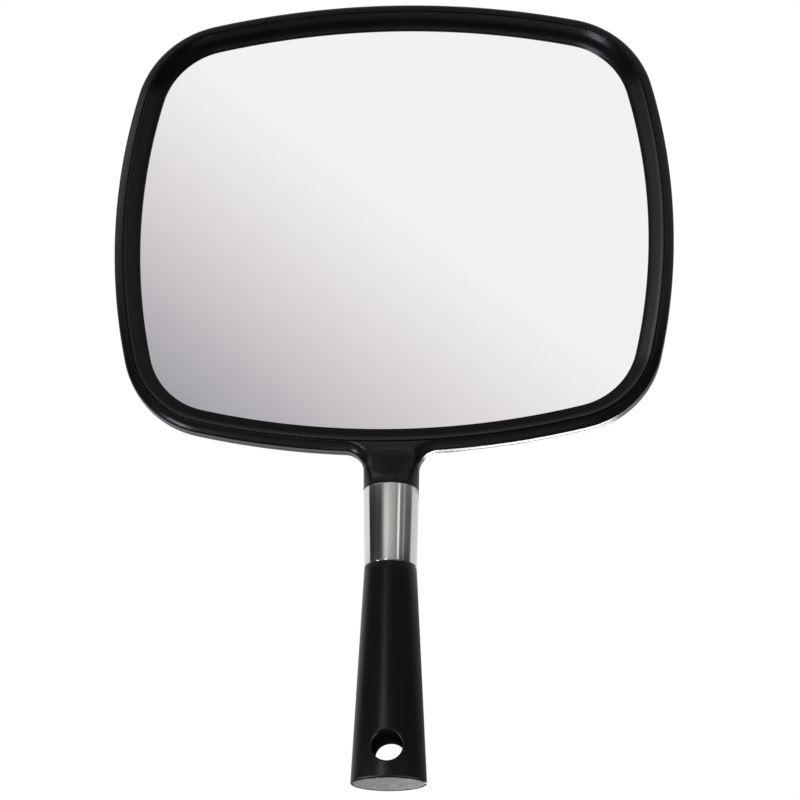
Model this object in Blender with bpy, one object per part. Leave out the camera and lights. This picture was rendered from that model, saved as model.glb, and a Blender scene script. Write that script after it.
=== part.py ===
"""A salon hand mirror: an oval glass in a two-shell frame, on a tapered handle with a metal ferrule.

The mirror stands upright: the glass looks along -Y, the handle runs along Z, +X is to the viewer's right.
The origin is on the handle's axis, at the middle of the hand's grip. Sizes below are millimetres.
"""
import math

import bmesh
import bpy

MM = 0.001
FIT_GAP = 0.3                    # clearance between two pieces that touch

# Heights along the handle, from the grip's middle
HANDLE_END = -50.4
HOLE_HEIGHT = -37.5
FERRULE_BOTTOM = 37.3
FERRULE_TOP = 69.8
HEAD_HEIGHT = 177.2              # the head's widest line

# The head's outline along the lip of the bezel, as tangent arcs
LIP_HALF_WIDTH = 103.99
SIDE_RADIUS = 237.3
TOP_CORNER = (15.1, 30.5, 342.8)     # angle where the side ends, corner radius, top radius
BOTTOM_CORNER = (12.3, 28.8, 332.0)  # the same for the lower half
CORNER_STEPS = 7
LONG_ARC_STEPS = 4

# Distances outward from the lip
GLASS_EDGE = 2.2
GROOVE = 6.57                    # parting groove between bezel and housing
HOUSING_INSIDE = 8.6
COVER_INSIDE = 8.0
HEAD_EDGE = 10.31
COVER_CORNER = ((COVER_INSIDE, 2.2), (7.4, 3.7), (6.0, 4.4))  # the cover's inner corner, (outward, depth)

# Depths of the head, along Y
FACE_Y = -5.75                   # ridge beside the groove
SHOULDER_Y = -2.95
LIP_Y = -1.15
GLASS_FRONT_Y = -0.15
GLASS_THICKNESS = 2.0
FOAM_EDGE = 1.5
FOAM_THICKNESS = 1.0
TAPE_THICKNESS = 0.65
TAPE_HALF_WIDTH = 10.0
TAPE_SPAN = (-60.0, 66.0)        # from the widest line, down and up
TAPE_PLACES = (("left", -60.0), ("middle", 0.0), ("right", 60.0))
BEZEL_ROOM_Y = -3.5              # how far forward the housing is hollow for the bezel's flange
BEZEL_BEND = (3.9, -2.3)         # control point of the bezel's hollowed slope
BEZEL_SKIRT = (4.0, 1.6)         # rear outer corner of the wall round the glass
BEZEL_FLANGE = ((4.0, -1.2), (4.9, -2.0))
BEZEL_FLANGE_DEPTHS = (-3.2, -2.0)
TONGUE_THICKNESS = 0.6
TONGUE_DEPTHS = (-1.7, 3.0)
BACK_Y = 6.2
BACK_EDGE_RADIUS = 4.0

# Neck and spigot
NECK_HALF_WIDTH = 11.15
NECK_FILLET = 8.0
NECK_FILLET_TOP = 86.0
NECK_TOP = 88.6
NECK_BLEND_END = 84.0            # above this the neck is a flat-faced slab
NECK_SLAB = (5.70, 6.12)         # the slab's depth in front and behind, just under the head's faces
NECK_SLAB_SQUARENESS = 2.5
NECK_HEIGHTS = (73.5, 76.0, 78.0, 80.0, 81.8, 83.2, 84.3, 85.2, 85.8, NECK_TOP)
SPIGOT_END = 18.0
SPIGOT_CHAMFER = 0.8

# Handle
HALF_DEPTH = 13.0                # the handle is equally deep all along, only its width tapers
GRIP_TOP_HALF_WIDTH = 10.48
GRIP_END_HALF_WIDTH = 15.15
GRIP_WALL = 2.2
GRIP_SOCKET_END = 14.0
MOUTH_WALL = 0.7
MOUTH_DEPTH = 2.7
FERRULE_TOP_HALF_WIDTH = 11.12
FERRULE_WALL = 0.8
HOLE_RADIUS = 6.15
HOLE_TUBE_WALL = 1.65
CAP_PLUG_HEIGHT = 1.4
CAP_LEG_SPAN = (9.2, 11.0)       # from the handle's middle plane
CAP_LEG_HALF_DEPTH = 3.5
CAP_LEG_TOP = -33.0
HANDLE_EDGE = 0.3                # chamfer of the grip's two rims
OVAL_STEPS = 48

# Steel tang, a flat bar with a wide head
TANG_THICKNESS = 3.0
TANG_HALF_WIDTH = 4.5
TANG_HEAD_HALF_WIDTH = 8.5
TANG_HEAD_BOTTOM = 77.0
TANG_TOP = 84.0
TANG_END = -6.0

BEYOND = 20.0                    # how far a cutter runs past what it cuts
SHARP_ANGLE = 35.0


def clear_scene():
    for obj in list(bpy.data.objects):
        bpy.data.objects.remove(obj, do_unlink=True)


def material(name, colour, roughness, metallic=0.0):
    """A plain surface of one colour."""
    made = bpy.data.materials.new(name)
    made.use_nodes = True
    shader = made.node_tree.nodes["Principled BSDF"]
    shader.inputs["Base Color"].default_value = (*colour, 1.0)
    shader.inputs["Roughness"].default_value = roughness
    shader.inputs["Metallic"].default_value = metallic
    return made


def add_object(name, bm, surface=None):
    """Turns a bmesh in millimetres into an object in metres, its faces pointing out."""
    bmesh.ops.scale(bm, vec=(MM, MM, MM), verts=bm.verts)
    bmesh.ops.recalc_face_normals(bm, faces=bm.faces)
    mesh = bpy.data.meshes.new(name)
    bm.to_mesh(mesh)
    bm.free()
    if surface is not None:
        mesh.materials.append(surface)
    mesh.shade_smooth()
    mesh.set_sharp_from_angle(angle=math.radians(SHARP_ANGLE))
    obj = bpy.data.objects.new(name, mesh)
    bpy.context.scene.collection.objects.link(obj)
    return obj


def add_cutter(name, bm):
    """A helper shape for Boolean modifiers: it isn't a piece of the mirror."""
    obj = add_object(name, bm)
    obj.hide_render = True
    obj.display_type = "WIRE"
    return obj


def boolean(obj, operation, other):
    modifier = obj.modifiers.new(f"{operation.lower()} {other.name}", "BOOLEAN")
    modifier.operation = operation
    modifier.solver = "EXACT"
    modifier.object = other


def loft(bm, rings, capped=True):
    """Joins rings of points with quads, and closes the two ends or joins the last ring to the first."""
    loops = [[bm.verts.new(point) for point in ring] for ring in rings]
    pairs = list(zip(loops, loops[1:]))
    if capped:
        bm.faces.new(loops[0])
        bm.faces.new(loops[-1])
    else:
        pairs.append((loops[-1], loops[0]))
    for lower, upper in pairs:
        for i in range(len(lower)):
            j = (i + 1) % len(lower)
            bm.faces.new((lower[i], lower[j], upper[j], upper[i]))


# ---- the head's outline ----

def corner_arc(corner):
    """Centre of a corner arc from the side arc's centre, the angle where it ends, and the end arc's centre."""
    side_end, radius, end_radius = math.radians(corner[0]), corner[1], corner[2]
    centre_x = LIP_HALF_WIDTH - SIDE_RADIUS + (SIDE_RADIUS - radius) * math.cos(side_end)
    centre_z = (SIDE_RADIUS - radius) * math.sin(side_end)
    corner_end = math.acos(centre_x / (end_radius - radius))
    end_centre_z = centre_z - (end_radius - radius) * math.sin(corner_end)
    return centre_x, centre_z, corner_end, end_centre_z


def quarter_rays(corner):
    """Rays (centre x, centre z, radius, angle) from the widest line to the middle of one end, upward."""
    side_end, radius, end_radius = math.radians(corner[0]), corner[1], corner[2]
    centre_x, centre_z, corner_end, end_centre_z = corner_arc(corner)
    stretches = (
        (LIP_HALF_WIDTH - SIDE_RADIUS, 0.0, SIDE_RADIUS, 0.0, side_end, LONG_ARC_STEPS),
        (centre_x, centre_z, radius, side_end, corner_end, CORNER_STEPS),
        (0.0, end_centre_z, end_radius, corner_end, math.pi / 2, LONG_ARC_STEPS),
    )
    rays = []
    for x, z, r, start, end, steps in stretches:
        rays += [(x, z, r, start + (end - start) * k / steps) for k in range(steps)]
    return rays


def outline_rays():
    """Rays around the whole head, anticlockwise from the widest point on the right."""
    middle_of = [(0.0, corner_arc(c)[3], c[2], math.pi / 2) for c in (TOP_CORNER, BOTTOM_CORNER)]
    top = quarter_rays(TOP_CORNER)
    bottom = quarter_rays(BOTTOM_CORNER)
    right_top = top + [middle_of[0]]
    left_top = [(-x, z, r, math.pi - a) for x, z, r, a in reversed(top)]
    left_bottom = [(-x, -z, r, math.pi + a) for x, z, r, a in bottom[1:] + [middle_of[1]]]
    right_bottom = [(x, -z, r, -a) for x, z, r, a in reversed(bottom[1:])]
    return right_top + left_top + left_bottom + right_bottom


def outline_ring(offset, y):
    """The head's outline, moved outward by offset, at depth y."""
    ring = []
    for x, z, radius, angle in outline_rays():
        reach = radius + offset
        ring.append((x + reach * math.cos(angle), y, HEAD_HEIGHT + z + reach * math.sin(angle)))
    return ring


def head_plate(profile):
    """A plate of the head's outline: the profile lists (outward offset, depth) from one face to the other."""
    bm = bmesh.new()
    loft(bm, [outline_ring(offset, y) for offset, y in profile])
    return bm


def head_ring(profile):
    """A ring of the head's outline with a closed section."""
    bm = bmesh.new()
    loft(bm, [outline_ring(offset, y) for offset, y in profile], capped=False)
    return bm


# ---- simple shapes ----

def oval_ring(height, half_width, half_depth):
    step = 2 * math.pi / OVAL_STEPS
    return [(half_width * math.cos(k * step), half_depth * math.sin(k * step), height) for k in range(OVAL_STEPS)]


def inset_oval(half_width, inset):
    """Half width and half depth of a handle section drawn in by inset all round."""
    return half_width - inset, HALF_DEPTH - inset


def oval_loft(sections):
    """A solid with oval sections, each (height, half width, half depth)."""
    bm = bmesh.new()
    loft(bm, [oval_ring(*section) for section in sections])
    return bm


def add_box(bm, low, high):
    """A box between two opposite corners."""
    rings = []
    for z in (low[2], high[2]):
        rings.append([(low[0], low[1], z), (high[0], low[1], z), (high[0], high[1], z), (low[0], high[1], z)])
    loft(bm, rings)


def cross_cylinder(radius):
    """A cylinder along Y through the hanging hole."""
    step = 2 * math.pi / OVAL_STEPS
    rings = []
    for y in (-BEYOND, BEYOND):
        circle = [(radius * math.cos(k * step), y, HOLE_HEIGHT + radius * math.sin(k * step))
                  for k in range(OVAL_STEPS)]
        rings.append(circle)
    bm = bmesh.new()
    loft(bm, rings)
    return bm


def half_space(y_low, y_high):
    """A block that covers the whole mirror between two depths."""
    bm = bmesh.new()
    add_box(bm, (-150.0, y_low, -100.0), (150.0, y_high, 320.0))
    return bm


# ---- frame ----

def shell_profile():
    """The head's outer surface, from the front face round the edge to the back face."""
    front = [(GROOVE - 1.0, FACE_Y), (GROOVE + 0.45, FACE_Y), (8.3, -5.1), (9.5, -4.2), (10.1, -3.55)]
    edge = [(HEAD_EDGE, SHOULDER_Y)]
    steps = 5
    for k in range(steps + 1):
        angle = math.pi / 2 * k / steps
        edge.append((HEAD_EDGE - BACK_EDGE_RADIUS * (1 - math.cos(angle)),
                     BACK_Y - BACK_EDGE_RADIUS * (1 - math.sin(angle))))
    return front + edge + [(GROOVE - 1.0, BACK_Y)]


def neck_half_width(height):
    """The neck's side, straight at first and then flaring out in a fillet to the head's lower edge."""
    start = NECK_FILLET_TOP - NECK_FILLET
    if height <= start:
        return NECK_HALF_WIDTH
    rise = min(height, NECK_FILLET_TOP - 0.05) - start
    flare = NECK_FILLET - math.sqrt(NECK_FILLET ** 2 - rise ** 2)
    return NECK_HALF_WIDTH + flare + 1.5 * max(0.0, height - NECK_FILLET_TOP)


def neck_section(height):
    """One section of the neck: oval at the ferrule, a flat-faced slab at the head."""
    start = FERRULE_TOP + FIT_GAP / 2
    share = min(1.0, max(0.0, (height - start) / (NECK_BLEND_END - start)))
    share = share * share * (3 - 2 * share)
    half_width = neck_half_width(height)
    front, back = (HALF_DEPTH + share * (slab - HALF_DEPTH) for slab in NECK_SLAB)
    power = 2 / (2 + NECK_SLAB_SQUARENESS * share)
    ring = []
    for k in range(OVAL_STEPS):
        angle = 2 * math.pi * k / OVAL_STEPS
        across, along = math.cos(angle), math.sin(angle)
        depth = back if along > 0 else front
        x = half_width * math.copysign(abs(across) ** power, across)
        y = depth * math.copysign(abs(along) ** power, along)
        ring.append((x, y, height))
    return ring


def neck_and_spigot():
    """The neck between head and ferrule, and the spigot that runs on through the ferrule into the grip."""
    in_grip = inset_oval(GRIP_TOP_HALF_WIDTH, GRIP_WALL + FIT_GAP)
    tip = inset_oval(GRIP_TOP_HALF_WIDTH, GRIP_WALL + FIT_GAP + SPIGOT_CHAMFER)
    lower = inset_oval(GRIP_TOP_HALF_WIDTH, FERRULE_WALL + FIT_GAP)
    upper = inset_oval(FERRULE_TOP_HALF_WIDTH, FERRULE_WALL + FIT_GAP)
    step_height = FERRULE_BOTTOM + FIT_GAP / 2
    neck_start = FERRULE_TOP + FIT_GAP / 2
    rings = [
        oval_ring(SPIGOT_END, *tip),
        oval_ring(SPIGOT_END + SPIGOT_CHAMFER, *in_grip),
        oval_ring(step_height, *in_grip),
        oval_ring(step_height, *lower),
        oval_ring(neck_start, *upper),
    ]
    rings += [neck_section(height) for height in (neck_start, *NECK_HEIGHTS)]
    bm = bmesh.new()
    loft(bm, rings)
    return bm


def tang_shape(grow):
    """The tang's flat shape, made larger all round by grow."""
    bar, head = TANG_HALF_WIDTH + grow, TANG_HEAD_HALF_WIDTH + grow
    bottom, neck, top = TANG_END - grow, TANG_HEAD_BOTTOM - grow, TANG_TOP + grow
    right = [(bar, bottom), (bar, neck), (head, neck), (head, top)]
    outline = right + [(-x, z) for x, z in reversed(right)]
    depth = TANG_THICKNESS / 2 + grow
    bm = bmesh.new()
    loft(bm, [[(x, y, z) for x, z in outline] for y in (-depth, depth)])
    return bm


def make_frame_shells(plastic):
    """The front housing and the rear cover, halves of one body parted at the handle's middle plane."""
    neck = add_cutter("neck_guide", neck_and_spigot())
    tang_pocket = add_cutter("tang_pocket_cutter", tang_shape(FIT_GAP))
    behind = add_cutter("behind_parting_cutter", half_space(-FIT_GAP / 2, BEYOND))
    ahead = add_cutter("ahead_of_parting_cutter", half_space(-BEYOND, FIT_GAP / 2))
    groove = GROOVE + FIT_GAP / 2
    front_room = [(groove, -BEYOND), (groove, BEZEL_ROOM_Y), (HOUSING_INSIDE, BEZEL_ROOM_Y),
                  (HOUSING_INSIDE, BEYOND)]
    rear_room = [(COVER_INSIDE, -BEYOND), *COVER_CORNER]
    front_cutter = add_cutter("housing_room_cutter", head_plate(front_room))
    rear_cutter = add_cutter("cover_room_cutter", head_plate(rear_room))
    outer = HOUSING_INSIDE - FIT_GAP
    inner, (ahead_y, behind_y) = outer - TONGUE_THICKNESS, TONGUE_DEPTHS
    tongue = add_cutter("tongue_guide", head_ring(
        [(inner, ahead_y), (outer, ahead_y), (outer, behind_y), (inner, behind_y)]))

    housing = add_object("front_housing", head_plate(shell_profile()), plastic)
    for operation, other in (("UNION", neck), ("DIFFERENCE", behind), ("DIFFERENCE", front_cutter),
                             ("DIFFERENCE", tang_pocket)):
        boolean(housing, operation, other)
    cover = add_object("rear_cover", head_plate(shell_profile()), plastic)
    for operation, other in (("UNION", neck), ("DIFFERENCE", ahead), ("DIFFERENCE", rear_cutter),
                             ("DIFFERENCE", tang_pocket), ("UNION", tongue)):
        boolean(cover, operation, other)


def make_bezel(plastic):
    """The inner ring: a hollowed slope from the ridge down to the lip, a glass seat and a flange behind."""
    ridge, bend, lip = (GROOVE - 0.42, FACE_Y), BEZEL_BEND, (0.25, LIP_Y)
    steps = 6
    slope = []
    for k in range(steps + 1):
        t = k / steps
        slope.append(tuple((1 - t) ** 2 * r + 2 * t * (1 - t) * b + t * t * p
                           for r, b, p in zip(ridge, bend, lip)))
    seat_y = GLASS_FRONT_Y - FIT_GAP
    seat_edge = GLASS_EDGE + FIT_GAP
    outside = GROOVE - FIT_GAP / 2
    flange_edge, (flange_front, flange_back) = HOUSING_INSIDE - FIT_GAP, BEZEL_FLANGE_DEPTHS
    section = [(outside, FACE_Y + 0.25)] + slope + [
        (0.0, LIP_Y + 0.3), (0.0, seat_y), (seat_edge, seat_y), (seat_edge, BEZEL_SKIRT[1]), BEZEL_SKIRT,
        *BEZEL_FLANGE, (flange_edge, flange_back), (flange_edge, flange_front), (outside, flange_front)]
    add_object("bezel_ring", head_ring(section), plastic)


def make_glass(silver):
    back = GLASS_FRONT_Y + GLASS_THICKNESS
    arris = 0.4
    profile = [(GLASS_EDGE - arris, GLASS_FRONT_Y), (GLASS_EDGE, GLASS_FRONT_Y + arris),
               (GLASS_EDGE, back - arris), (GLASS_EDGE - arris, back)]
    add_object("mirror_glass", head_plate(profile), silver)


def make_backing(foam, tape):
    """The foam pad behind the glass, and the adhesive strips that hold it to the cover."""
    pad_front = GLASS_FRONT_Y + GLASS_THICKNESS + FIT_GAP
    pad_back = pad_front + FOAM_THICKNESS
    add_object("foam_pad", head_plate([(FOAM_EDGE, pad_front), (FOAM_EDGE, pad_back)]), foam)
    low, high = (HEAD_HEIGHT + reach for reach in TAPE_SPAN)
    tape_front = pad_back + FIT_GAP
    for place, x in TAPE_PLACES:
        strip = bmesh.new()
        add_box(strip, (x - TAPE_HALF_WIDTH, tape_front, low),
                (x + TAPE_HALF_WIDTH, tape_front + TAPE_THICKNESS, high))
        add_object(f"tape_strip_{place}", strip, tape)


# ---- handle ----

def grip_half_width(height):
    """The grip widens evenly from the ferrule to the handle's end."""
    share = (FERRULE_BOTTOM - height) / (FERRULE_BOTTOM - HANDLE_END)
    return GRIP_TOP_HALF_WIDTH + share * (GRIP_END_HALF_WIDTH - GRIP_TOP_HALF_WIDTH)


def grip_section(height, inset):
    return (height, *inset_oval(grip_half_width(height), inset))


def make_grip(plastic):
    """A hollow tapered grip, with a tube across it for the hanging hole."""
    top = FERRULE_BOTTOM - FIT_GAP / 2
    grip = add_object("handle_grip", oval_loft([
        grip_section(HANDLE_END, HANDLE_EDGE), grip_section(HANDLE_END + HANDLE_EDGE, 0.0),
        grip_section(top - HANDLE_EDGE, 0.0), grip_section(top, HANDLE_EDGE)]), plastic)

    mouth_top = HANDLE_END + MOUTH_DEPTH
    socket = inset_oval(GRIP_TOP_HALF_WIDTH, GRIP_WALL)
    mouth = grip_section(HANDLE_END, MOUTH_WALL)[1:]
    inside = add_cutter("grip_inside_cutter", oval_loft([
        (HANDLE_END - 1.0, *mouth), (mouth_top, *mouth), grip_section(mouth_top, GRIP_WALL),
        grip_section(GRIP_SOCKET_END - 1.0, GRIP_WALL), (GRIP_SOCKET_END, *socket),
        (FERRULE_BOTTOM + 1.0, *socket)]))
    boolean(inside, "DIFFERENCE", add_cutter("hole_tube_guide", cross_cylinder(HOLE_RADIUS + HOLE_TUBE_WALL)))
    boolean(grip, "DIFFERENCE", inside)
    boolean(grip, "DIFFERENCE", add_cutter("hanging_hole_cutter", cross_cylinder(HOLE_RADIUS)))


def make_ferrule(chrome):
    """A thin tapered metal sleeve between neck and grip."""
    low, high = FERRULE_BOTTOM + FIT_GAP / 2, FERRULE_TOP - FIT_GAP / 2
    edge = 0.2
    sizes = [(low, GRIP_TOP_HALF_WIDTH, edge), (low + edge, GRIP_TOP_HALF_WIDTH, 0.0),
             (high - edge, FERRULE_TOP_HALF_WIDTH, 0.0), (high, FERRULE_TOP_HALF_WIDTH, edge),
             (high, FERRULE_TOP_HALF_WIDTH, FERRULE_WALL), (low, GRIP_TOP_HALF_WIDTH, FERRULE_WALL)]
    bm = bmesh.new()
    loft(bm, [oval_ring(z, *inset_oval(half, inset)) for z, half, inset in sizes], capped=False)
    add_object("chrome_ferrule", bm, chrome)


def make_end_cap(plastic):
    """The disc that closes the grip, with a short plug and two legs beside the hole's tube."""
    disc_top = HANDLE_END + MOUTH_DEPTH - FIT_GAP
    plug_top = disc_top + CAP_PLUG_HEIGHT
    chamfer = 0.25
    end = GRIP_END_HALF_WIDTH
    disc = inset_oval(end, MOUTH_WALL + FIT_GAP)
    plug = grip_section(plug_top, GRIP_WALL + FIT_GAP)[1:]
    cap = add_object("end_cap", oval_loft([
        (HANDLE_END, *inset_oval(end, MOUTH_WALL + FIT_GAP + chamfer)), (HANDLE_END + chamfer, *disc),
        (disc_top, *disc), (disc_top, *plug), (plug_top, *plug)]), plastic)
    legs = bmesh.new()
    leg_bottom = plug_top - CAP_PLUG_HEIGHT / 2
    for side in (-1, 1):
        near, far = sorted(side * reach for reach in CAP_LEG_SPAN)
        add_box(legs, (near, -CAP_LEG_HALF_DEPTH, leg_bottom), (far, CAP_LEG_HALF_DEPTH, CAP_LEG_TOP))
    boolean(cap, "UNION", add_cutter("cap_leg_guide", legs))


def make_tang(steel):
    """The steel bar that stiffens the neck, its head held between the two shells."""
    add_object("tang_bar", tang_shape(0.0), steel)


def main():
    clear_scene()
    black = material("satin_black_plastic", (0.012, 0.012, 0.013), 0.32)
    make_frame_shells(black)
    make_bezel(black)
    make_glass(material("silvered_glass", (0.9, 0.9, 0.91), 0.02, metallic=1.0))
    make_backing(material("grey_foam", (0.22, 0.22, 0.23), 0.9), material("white_tape", (0.8, 0.8, 0.76), 0.6))
    make_tang(material("bare_steel", (0.55, 0.55, 0.56), 0.35, metallic=1.0))
    make_ferrule(material("bright_chrome", (0.83, 0.83, 0.82), 0.12, metallic=1.0))
    make_grip(black)
    make_end_cap(material("frosted_grey_plastic", (0.26, 0.26, 0.27), 0.55))


main()
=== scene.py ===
"""A salon hand mirror: the fine surfaces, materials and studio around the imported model.

The pieces' sizes are in millimetres, in the model's own frame: the glass looks along -Y and +Z runs up
the handle. Finished meshes and everything in the studio are in metres.
"""
import math

import bmesh
import bpy
import numpy as np
from mathutils import Matrix, Vector


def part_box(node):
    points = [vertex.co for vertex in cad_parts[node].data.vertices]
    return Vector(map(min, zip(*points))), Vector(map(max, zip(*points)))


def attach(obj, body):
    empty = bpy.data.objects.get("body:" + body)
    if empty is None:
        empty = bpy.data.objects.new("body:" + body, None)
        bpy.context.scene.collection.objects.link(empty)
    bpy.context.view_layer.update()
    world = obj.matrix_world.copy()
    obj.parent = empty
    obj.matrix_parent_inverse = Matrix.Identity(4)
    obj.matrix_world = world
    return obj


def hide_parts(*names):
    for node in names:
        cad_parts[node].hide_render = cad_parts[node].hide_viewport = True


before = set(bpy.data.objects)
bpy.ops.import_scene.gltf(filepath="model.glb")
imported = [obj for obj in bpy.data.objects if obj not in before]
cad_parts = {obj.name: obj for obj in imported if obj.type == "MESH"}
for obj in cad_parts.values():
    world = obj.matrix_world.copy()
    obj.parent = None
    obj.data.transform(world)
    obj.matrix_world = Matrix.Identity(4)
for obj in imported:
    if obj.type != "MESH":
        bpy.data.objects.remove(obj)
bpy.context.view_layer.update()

MM = 0.001


def edges_of(node):
    """The node's lowest and highest corners, in millimetres."""
    low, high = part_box(node)
    return low / MM, high / MM


# Heights and depths that the CAD fixes
HANDLE_END = edges_of("handle_grip")[0].z
HALF_DEPTH = edges_of("handle_grip")[1].y
FERRULE_BOTTOM, FERRULE_TOP = (corner.z for corner in edges_of("chrome_ferrule"))
GLASS_FRONT = edges_of("mirror_glass")[0].y
FACE_Y = edges_of("bezel_ring")[0].y
BACK_Y = 6.2                         # the head's flat back
HOLE_HEIGHT = -37.5                  # axis of the hanging hole
HEAD_HEIGHT = 177.2                  # the head's widest line

# The head's outline along the lip of the bezel, as tangent arcs
HEAD_HALF_WIDTH = edges_of("front_housing")[1].x
HEAD_EDGE = 10.31                    # from the lip out to the head's edge
LIP_HALF_WIDTH = HEAD_HALF_WIDTH - HEAD_EDGE
SIDE_RADIUS = 237.3
TOP_CORNER = (15.1, 30.5, 342.8)     # angle where the side ends, corner radius, top radius
BOTTOM_CORNER = (12.3, 28.8, 332.0)  # the same for the bottom

# The frame's section
GROOVE = 6.57                        # from the lip out to the groove between bezel and housing
GROOVE_HALF_WIDTH = 0.13
GROOVE_DEPTH = 0.6
HOUSING_INSIDE = 8.6                 # from the lip out to the inner wall of the housing
HOUSING_FLOOR_Y = -3.5               # underside of the housing's band
COVER_INSIDE = 8.0                   # from the lip out to the inner wall of the cover
SHOULDER_Y = -2.95                   # where the band meets the side wall
BAND_FALL = 3.6                      # width over which the band falls from the face to the shoulder
BAND_SLOPES = (1.6, 0.36)            # its steepness at the shoulder and beside the groove
SHOULDER_ROUNDING = 0.22             # width of the shoulder's rounding
SHOULDER_DROP = 0.12                 # how far the rounding lowers the edge
LEAST_DEPTH = 0.3                    # housing and cover keep this much on their side of the parting
BACK_EDGE_RADIUS = 4.0
PARTING_HALF_GAP = 0.07
PARTING_START = 0.28                 # depth at which the side wall begins to turn in to the parting
PARTING_ROUNDING = 0.08
PARTING_INSETS = (0.03, 0.14)        # how far the wall is turned in before and at the parting

# Neck
NECK_HALF_WIDTH = 11.15
NECK_FILLET = 8.0
JOINT = 0.05                         # visible joints above and below the ferrule
NECK_BOTTOM = FERRULE_TOP + JOINT
NECK_BLEND = (72.0, 85.0)            # heights between which the oval turns into the flat-faced head
NECK_SIDES_END = 40.0                # the neck's sides run on down to here when distances are measured

# Spigot and ferrule
SPIGOT_INSET = 1.0
SPIGOT_TAPER = 1.6
GRIP_TOP_HALF_WIDTH = 10.48
FERRULE_TOP_HALF_WIDTH = 11.12
FERRULE_WALL = 0.8
FERRULE_LOWER_ROLL = 0.4
FERRULE_UPPER_ROLL = 0.16

# Grip and end cap
GRIP_END_HALF_WIDTH = 15.15
GRIP_WALL = 2.2                      # at the grip's top
GRIP_TOP_RIM = 0.14                  # rounding of its upper edge
SOCKET_DEPTH = 5.0                   # how far its upper mouth reaches down
HOLE_RADIUS = 6.15
HOLE_ROUNDING = 0.8
END_ROUNDING = 0.6
MOUTH_WALL = 1.6                     # wall round the end cap, in front and behind
MOUTH_FLARE = 0.85                   # how much thinner the wall is at the sides of the mouth
MOUTH_DEPTH = 2.7
CAP_GAP = 0.08                       # between the wall and the end cap

# Mesh steps
LONG_STEPS = 26                      # along one half of a long arc
CORNER_STEPS = 30
FILLET_STEPS = 24
NECK_SIDE_STEPS = 10
NECK_FRONT_STEPS = 44
BACK_EDGE_STEPS = 10
SLOPE_STEPS = 18                     # down the bezel's slope
ROLL_STEPS = 8
OVAL_STEPS = 160                     # round the handle
GRIP_STEPS = 26                      # along the grip above the hole
BORE_STEPS = 8
MOUTH_STEPS = 6

# The patches of the grip's mesh that the rings round the hole fill, in front and behind
PATCH_HALF_HEIGHT = 8.6
PATCH_STEPS = 16                     # rows in a patch
PATCH_REACH = 16                     # columns on each side of the hole
HOLE_COLUMNS = {-1: OVAL_STEPS * 3 // 4, 1: OVAL_STEPS // 4}

SHARP_ANGLE = math.radians(32.0)


# ---- meshes ----

def add_mesh(name, points, faces):
    """An object in metres from points in millimetres, faces outward, smooth except at sharp edges."""
    mesh = bpy.data.meshes.new(name)
    mesh.from_pydata((np.asarray(points) * MM).tolist(), [], faces)
    bm = bmesh.new()
    bm.from_mesh(mesh)
    bmesh.ops.recalc_face_normals(bm, faces=bm.faces)
    bm.to_mesh(mesh)
    bm.free()
    mesh.shade_smooth()
    mesh.set_sharp_from_angle(angle=SHARP_ANGLE)
    obj = bpy.data.objects.new(name, mesh)
    bpy.context.scene.collection.objects.link(obj)
    return obj


def strip_faces(first, second, count):
    """Quads between two closed rings whose points start at the given indices."""
    faces = []
    for i in range(count):
        j = (i + 1) % count
        faces.append((first + i, first + j, second + j, second + i))
    return faces


def loft(name, rings, capped=True):
    """A closed mesh through rings of equal length: its ends are capped, or joined to each other."""
    count = len(rings[0])
    faces = []
    for k in range(len(rings) - 1):
        faces += strip_faces(k * count, (k + 1) * count, count)
    last = (len(rings) - 1) * count
    if capped:
        faces.append(tuple(range(count)))
        faces.append(tuple(range(last, last + count)))
    else:
        faces += strip_faces(last, 0, count)
    return add_mesh(name, np.concatenate(rings), faces)


def at_depth(flat, depth):
    """Points (x, z) placed at a depth, one for all or one for each."""
    y = np.broadcast_to(depth, len(flat))
    return np.stack([flat[:, 0], y, flat[:, 1]], axis=1)


# ---- the head's outline ----

def corner_arc(corner):
    """A corner arc's centre, the angle where the end arc begins, and the height of that arc's centre."""
    side_end, radius, end_radius = math.radians(corner[0]), corner[1], corner[2]
    x = LIP_HALF_WIDTH - SIDE_RADIUS + (SIDE_RADIUS - radius) * math.cos(side_end)
    z = (SIDE_RADIUS - radius) * math.sin(side_end)
    end = math.acos(x / (end_radius - radius))
    return x, z, end, z - (end_radius - radius) * math.sin(end)


def neck_geometry():
    """The centre (x, z) of the fillet beside the neck, half the angle that the neck takes of the head's
    lower arc, and the height of that arc's centre."""
    end_radius = BOTTOM_CORNER[2] + HEAD_EDGE
    arc_centre = HEAD_HEIGHT - corner_arc(BOTTOM_CORNER)[3]
    x = NECK_HALF_WIDTH + NECK_FILLET
    reach = end_radius + NECK_FILLET
    return x, arc_centre - math.sqrt(reach ** 2 - x ** 2), math.asin(x / reach), arc_centre


def quarter_rays(corner, end_angle):
    """Rays (centre x, centre z, radius, angle) from the widest line towards the middle of one end."""
    side_end, radius, end_radius = math.radians(corner[0]), corner[1], corner[2]
    x, z, corner_end, end_z = corner_arc(corner)
    rays = []
    for cx, cz, r, start, stop, steps in (
        (LIP_HALF_WIDTH - SIDE_RADIUS, 0.0, SIDE_RADIUS, 0.0, side_end, LONG_STEPS),
        (x, z, radius, side_end, corner_end, CORNER_STEPS),
        (0.0, end_z, end_radius, corner_end, end_angle, LONG_STEPS),
    ):
        for k in range(steps):
            rays.append((cx, cz, r, start + (stop - start) * k / steps))
    return rays


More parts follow.
